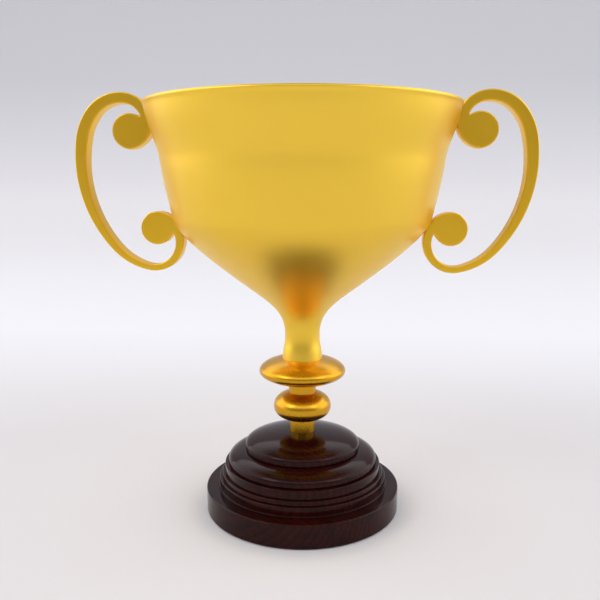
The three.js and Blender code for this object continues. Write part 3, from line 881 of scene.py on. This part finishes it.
stageShape = {
    "halfWidth": 3.5, "front": -3.0, "back": 1.75, "bend": 1.3, "wall": 2.2,  # metres
    # painted shade: the floor is painted darker in front and the wall darker towards its top, brightest in
    # between, in place of the studio light falling off
    "paintedShadeTones": [  # (depth along the sweep in metres, colour)
        (-0.45, (0.785, 0.775, 0.795)), (0.10, (0.775, 0.755, 0.77)), (0.50, (0.92, 0.92, 0.95)),
        (1.80, (0.98, 0.97, 0.99)), (2.35, (0.97, 0.96, 0.98)), (3.2, (0.76, 0.76, 0.80))],
}


def makeStage():
    shape = stageShape
    backdrop = Finish(bpy.data.materials.new("backdrop_paint"))
    x, y, z = backdrop.parts(backdrop.place())
    first, last = shape["paintedShadeTones"][0][0], shape["paintedShadeTones"][-1][0]
    depth = ((y + z * 0.5 - first) / (last - first)).clamped(0.0, 1.0)
    stops = [((place - first) / (last - first), colour) for place, colour in shape["paintedShadeTones"]]
    # the backdrop's colour carries painted shade, darker in front and towards the top of the wall
    tone = backdrop.ramp(depth, stops)
    cloth = backdrop.noise(backdrop.place(), 40.0, 3.0, 0.5)
    paint = backdrop.finished({"Base Color": tone, "Roughness": 0.85 + (cloth - 0.5) * 0.1,
                               "Specular IOR Level": 0.1})
    profile = ([(shape["front"], 0.0), (0.0, 0.0)]
               + ellipseArc(shape["back"], shape["bend"], shape["bend"], shape["bend"], -90, 0, 32)
               + [(shape["back"] + shape["bend"], shape["wall"])])
    count = len(profile)
    vertices = [(side * shape["halfWidth"], y, z) for side in (-1, 1) for y, z in profile]
    faces = [(i, i + count, i + 1 + count, i + 1) for i in range(count - 1)]
    floor = linkedMesh("floor", vertices, (), faces)
    floor.data.materials.append(paint)
    for polygon in floor.data.polygons:
        polygon.use_smooth = True


makeStage()

lightPlan = {
    # name: place, aim, width, height, watts, colour
    "keyLeft": ((-1.3, -1.0, 1.3), (0.0, 0.0, 0.12), 0.8, 0.8, 4.5, (1.0, 0.97, 0.93)),
    "fillRight": ((1.4, -0.9, 1.1), (0.0, 0.0, 0.12), 0.8, 0.8, 2.5, (0.93, 0.96, 1.0)),
}
skyPlan = {
    "bright": (0.97, 0.97, 1.0),
    "dim": (0.15, 0.145, 0.145),  # low in front, where the studio is dark
    "overhead": (0.20, 0.195, 0.195),
    "strength": 1.84,
}


# The sky is bright but for the low part in front and the ceiling.
def makeSky():
    world = bpy.data.worlds.new("studio")
    bpy.context.scene.world = world
    sky = Finish(world)
    x, y, z = sky.parts(sky.put("ShaderNodeTexCoord", out="Generated"))
    facing = ((0.0 - y) / 0.6).clamped(0.0, 1.0)
    lowness = ((0.68 - z) / 0.32).clamped(0.0, 1.0)
    ceiling = ((z - 0.68) / 0.2).clamped(0.0, 1.0)
    colour = sky.mixed(facing * lowness, skyPlan["bright"], skyPlan["dim"])
    colour = sky.mixed(ceiling, colour, skyPlan["overhead"])
    back = sky.put("ShaderNodeBackground", None, {"Color": colour, "Strength": skyPlan["strength"]})
    sink = sky.tree.nodes.new("ShaderNodeOutputWorld")
    sky.tree.links.new(back.socket, sink.inputs["Surface"])


def makeLights():
    for name, (place, aim, width, height, watts, colour) in lightPlan.items():
        lamp = bpy.data.lights.new(name, "AREA")
        lamp.shape = "RECTANGLE"
        lamp.size, lamp.size_y, lamp.energy, lamp.color = width, height, watts, colour
        holder = bpy.data.objects.new(name, lamp)
        holder.location = place
        holder.rotation_euler = (Vector(aim) - Vector(place)).to_track_quat("-Z", "Y").to_euler()
        bpy.context.scene.collection.objects.link(holder)
    bpy.context.scene.view_settings.view_transform = "Standard"


makeSky()
makeLights()

cameraPlan = {
    "place": (28.4, -422.8, 203.9),  # mm
    "turn": 4.04,  # degrees about Z away from looking along +Y
    "pitch": -9.75,
    "lens": 42.45,
}


def makeCamera():
    lens = bpy.data.cameras.new("camera")
    lens.lens, lens.sensor_width = cameraPlan["lens"], 36.0
    lens.clip_start, lens.clip_end = 0.01, 20.0
    holder = bpy.data.objects.new("camera", lens)
    holder.location = Vector(cameraPlan["place"]) * millimetre
    holder.rotation_euler = (math.radians(90 + cameraPlan["pitch"]), 0.0, math.radians(cameraPlan["turn"]))
    bpy.context.scene.collection.objects.link(holder)
    bpy.context.scene.camera = holder


makeCamera()
print("stage, light and camera placed")
